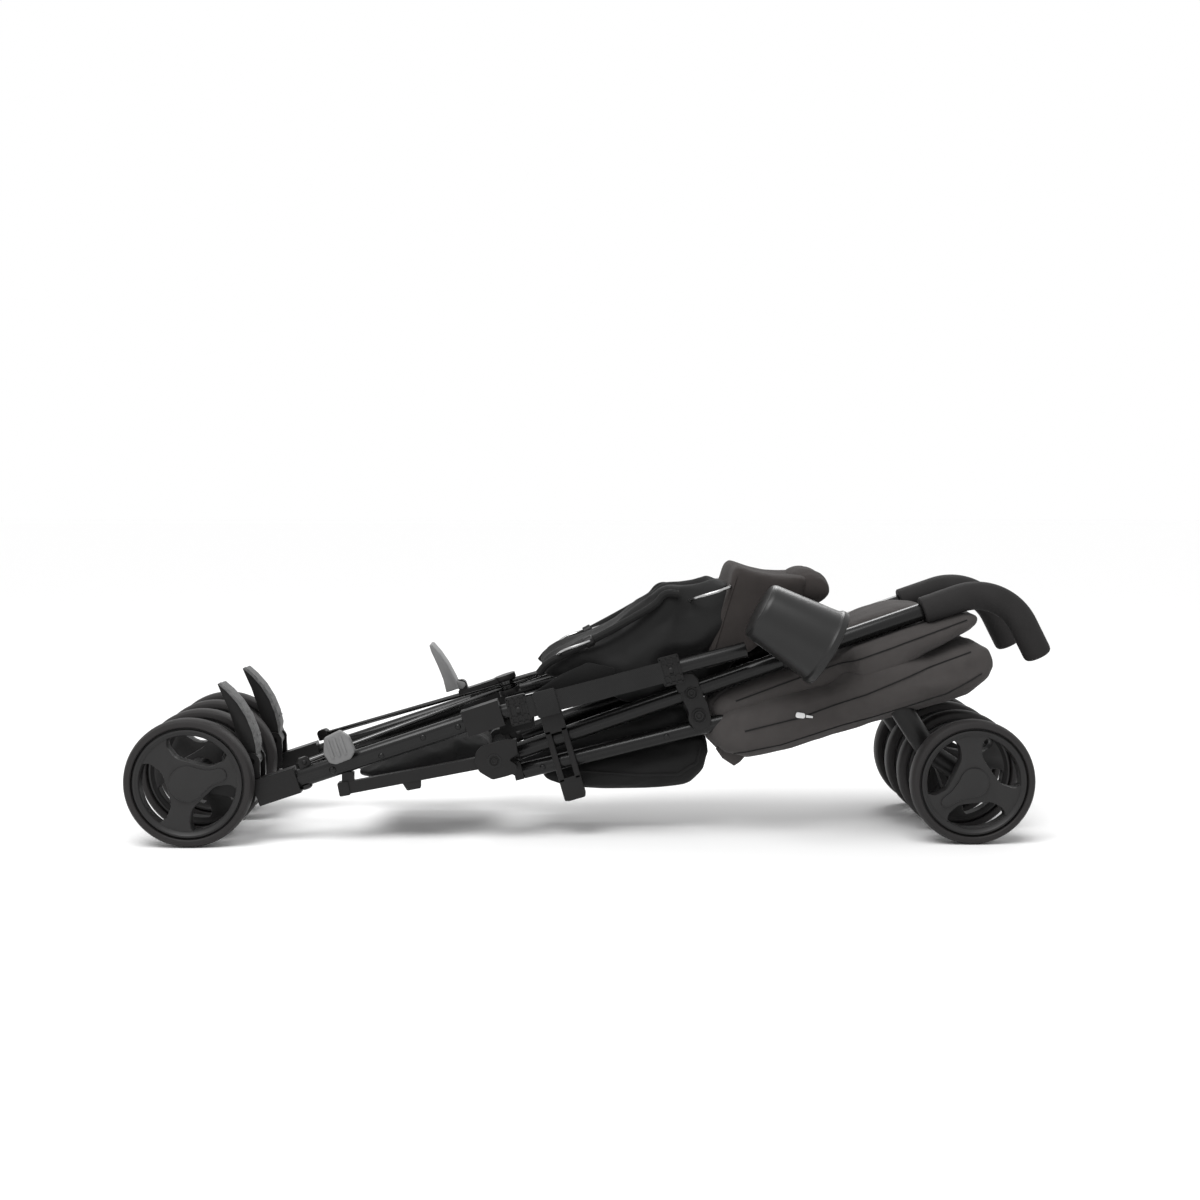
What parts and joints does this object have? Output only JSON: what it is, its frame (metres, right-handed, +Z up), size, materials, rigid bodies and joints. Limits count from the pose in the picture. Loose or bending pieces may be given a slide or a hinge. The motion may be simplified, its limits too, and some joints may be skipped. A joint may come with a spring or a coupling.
{
  "type": "umbrella stroller",
  "caption": "Folded umbrella stroller lying on twin wheels: black tube frame, swivel casters, brake pedals, foam hook handles, folded canopy and cup holder.",
  "frame": {"origin": "middle of the folded stroller on the floor that its wheels stand on", "axes": "+X from the rear wheels to the casters and handles, +Z up, +Y to the left of the person who pushes"},
  "size_m": [1.0647, 0.2985, 0.3207],
  "materials": {
    "frame_metal": "satin black powder coat",
    "black_plastic": "fine moulded texture",
    "cup_plastic": "satin moulded",
    "bare_steel": "plain turned",
    "bar_metal": "satin black",
    "rim_plastic": "fine moulded texture",
    "tyre_foam": "matt foam rubber",
    "grey_plastic": "satin moulded",
    "grip_foam": "soft foam",
    "canopy_cloth": "plain woven, charcoal",
    "seat_cloth": "plain woven, black",
    "webbing": "woven tape"
  },
  "bodies": {
    "seat_base": {"seat_sling": "seat_cloth", "basket": "seat_cloth"},
    "back_core": {"seat_back": "seat_cloth", "seat_back_top": "canopy_cloth", "canopy": "canopy_cloth"},
    "rear_core": {"cross_hub": "black_plastic"},
    "fold_pedal": {"fold_pedal": "grey_plastic"},
    "lock_lever": {"lock_lever": "grey_plastic"},
    "fold_hook": {"fold_hook": "black_plastic"},
    "front_right": {"front_leg_right": "frame_metal", "front_knuckle_right": "black_plastic", "caster_socket_right": "black_plastic"},
    "caster_right": {"caster_fork_right": "black_plastic"},
    "front_wheels_right": {"front_axle_right": "bare_steel", "front_rims_right": "rim_plastic", "front_tyres_right": "tyre_foam"},
    "back_right": {"pusher_tube_right": "frame_metal", "pusher_knuckle_right": "black_plastic", "side_bracket_right": "black_plastic", "canopy_side_right": "canopy_cloth", "cup_clamp": "black_plastic", "cup_holder": "cup_plastic"},
    "handle_right": {"handle_right": "grip_foam"},
    "brace_right": {"cross_bar_right": "bar_metal"},
    "rear_right": {"rear_leg_right": "frame_metal", "leg_sleeve_right": "black_plastic", "main_tube_right": "frame_metal", "axle_housing_right": "black_plastic", "hinge_bar_right": "frame_metal", "hinge_pin_right": "bare_steel", "strap_anchors": "black_plastic", "carry_strap": "webbing"},
    "rear_wheels_right": {"rear_axle_right": "bare_steel", "rear_rims_right": "rim_plastic", "rear_tyres_right": "tyre_foam"},
    "brake_right": {"brake_pedal_right": "grey_plastic"},
    "front_left": {"front_leg_left": "frame_metal", "front_knuckle_left": "black_plastic", "caster_socket_left": "black_plastic"},
    "caster_left": {"caster_fork_left": "black_plastic"},
    "front_wheels_left": {"front_axle_left": "bare_steel", "front_rims_left": "rim_plastic", "front_tyres_left": "tyre_foam"},
    "back_left": {"pusher_tube_left": "frame_metal", "pusher_knuckle_left": "black_plastic", "side_bracket_left": "black_plastic", "canopy_side_left": "canopy_cloth"},
    "handle_left": {"handle_left": "grip_foam"},
    "brace_left": {"cross_bar_left": "bar_metal"},
    "rear_left": {"rear_leg_left": "frame_metal", "leg_sleeve_left": "black_plastic", "main_tube_left": "frame_metal", "axle_housing_left": "black_plastic", "hinge_bar_left": "frame_metal", "hinge_pin_left": "bare_steel"},
    "rear_wheels_left": {"rear_axle_left": "bare_steel", "rear_rims_left": "rim_plastic", "rear_tyres_left": "tyre_foam"},
    "brake_left": {"brake_pedal_left": "grey_plastic"}
  },
  "joints": [
    {"name": "fold", "type": "hinge", "parent": "seat_base", "child": "back_core", "pos_m": [-0.11498, 0.02275, 0.094], "axis": [0, -1, 0], "range_deg": [0, 138.5]},
    {"name": "rear_fold", "type": "hinge", "parent": "back_core", "child": "rear_core", "pos_m": [-0.11498, 0.02275, 0.094], "axis": [0, 1, 0], "range_deg": [0, 52.5]},
    {"name": "front_spread_right", "type": "slide", "parent": "seat_base", "child": "front_right", "axis": [0, -1, 0], "range_m": [0, 0.11]},
    {"name": "front_spread_left", "type": "slide", "parent": "seat_base", "child": "front_left", "axis": [0, 1, 0], "range_m": [0, 0.11]},
    {"name": "back_spread_right", "type": "slide", "parent": "back_core", "child": "back_right", "axis": [0, -1, 0], "range_m": [0, 0.11]},
    {"name": "back_spread_left", "type": "slide", "parent": "back_core", "child": "back_left", "axis": [0, 1, 0], "range_m": [0, 0.11]},
    {"name": "rear_spread_right", "type": "slide", "parent": "rear_core", "child": "rear_right", "axis": [0, -1, 0], "range_m": [0, 0.11]},
    {"name": "rear_spread_left", "type": "slide", "parent": "rear_core", "child": "rear_left", "axis": [0, 1, 0], "range_m": [0, 0.11]},
    {"name": "brace_turn_right", "type": "hinge", "parent": "rear_core", "child": "brace_right", "pos_m": [-0.09716, 0.02275, 0.1532], "axis": [-0.314, 0, 0.9494], "range_deg": [0, 30]},
    {"name": "handle_turn_right", "type": "hinge", "parent": "back_right", "child": "handle_right", "pos_m": [0.38166, -0.04325, 0.26263], "axis": [-0.9449, 0, -0.3272], "range_deg": [0, 180]},
    {"name": "caster_swivel_right", "type": "hinge", "parent": "front_right", "child": "caster_right", "pos_m": [0.41534, -0.05325, 0.06046], "axis": [-0.5519, 0, 0.8339], "continuous": true},
    {"name": "front_roll_right", "type": "hinge", "parent": "caster_right", "child": "front_wheels_right", "pos_m": [0.43202, -0.05325, 0.0715], "axis": [0, 1, 0], "continuous": true},
    {"name": "rear_roll_right", "type": "hinge", "parent": "rear_right", "child": "rear_wheels_right", "pos_m": [-0.45998, -0.05325, 0.0735], "axis": [0, 1, 0], "continuous": true},
    {"name": "brake_press_right", "type": "hinge", "parent": "rear_right", "child": "brake_right", "pos_m": [-0.39329, -0.05325, 0.09318], "axis": [0, -1, 0], "range_deg": [0, 20], "stiffness_Nm_per_rad": 0.3},
    {"name": "brace_turn_left", "type": "hinge", "parent": "rear_core", "child": "brace_left", "pos_m": [-0.09716, 0.02275, 0.1532], "axis": [0.314, 0, -0.9494], "range_deg": [0, 30]},
    {"name": "handle_turn_left", "type": "hinge", "parent": "back_left", "child": "handle_left", "pos_m": [0.38166, 0.08875, 0.26263], "axis": [0.9449, 0, 0.3272], "range_deg": [0, 180]},
    {"name": "caster_swivel_left", "type": "hinge", "parent": "front_left", "child": "caster_left", "pos_m": [0.41534, 0.09875, 0.06046], "axis": [-0.5519, 0, 0.8339], "continuous": true},
    {"name": "front_roll_left", "type": "hinge", "parent": "caster_left", "child": "front_wheels_left", "pos_m": [0.43202, 0.09875, 0.0715], "axis": [0, 1, 0], "continuous": true},
    {"name": "rear_roll_left", "type": "hinge", "parent": "rear_left", "child": "rear_wheels_left", "pos_m": [-0.45998, 0.09875, 0.0735], "axis": [0, 1, 0], "continuous": true},
    {"name": "brake_press_left", "type": "hinge", "parent": "rear_left", "child": "brake_left", "pos_m": [-0.39329, 0.09875, 0.09318], "axis": [0, -1, 0], "range_deg": [0, 20], "stiffness_Nm_per_rad": 0.3},
    {"name": "fold_press", "type": "hinge", "parent": "rear_core", "child": "fold_pedal", "pos_m": [-0.15751, 0.02275, 0.1701], "axis": [0, -1, 0], "range_deg": [0, 30], "stiffness_Nm_per_rad": 0.4},
    {"name": "lever_press", "type": "hinge", "parent": "rear_right", "child": "lock_lever", "pos_m": [-0.28986, -0.08225, 0.10211], "axis": [0, -1, 0], "range_deg": [0, 20], "stiffness_Nm_per_rad": 0.3},
    {"name": "hook_swing", "type": "hinge", "parent": "rear_right", "child": "fold_hook", "pos_m": [-0.05493, -0.06725, 0.16193], "axis": [-0.9681, 0, -0.2504], "range_deg": [0, 60]}
  ],
  "couplings": [
    {"joint": "rear_fold", "follows": "fold", "ratio": 0.379},
    {"joint": "front_spread_right", "follows": "fold", "m_per_rad": 0.0455},
    {"joint": "front_spread_left", "follows": "fold", "m_per_rad": 0.0455},
    {"joint": "back_spread_right", "follows": "fold", "m_per_rad": 0.0455},
    {"joint": "back_spread_left", "follows": "fold", "m_per_rad": 0.0455},
    {"joint": "rear_spread_right", "follows": "fold", "m_per_rad": 0.0455},
    {"joint": "rear_spread_left", "follows": "fold", "m_per_rad": 0.0455},
    {"joint": "brace_turn_right", "follows": "fold", "ratio": 0.2152},
    {"joint": "handle_turn_right", "follows": "fold", "ratio": 1.2996},
    {"joint": "brace_turn_left", "follows": "fold", "ratio": 0.2152},
    {"joint": "handle_turn_left", "follows": "fold", "ratio": 1.2996}
  ]
}
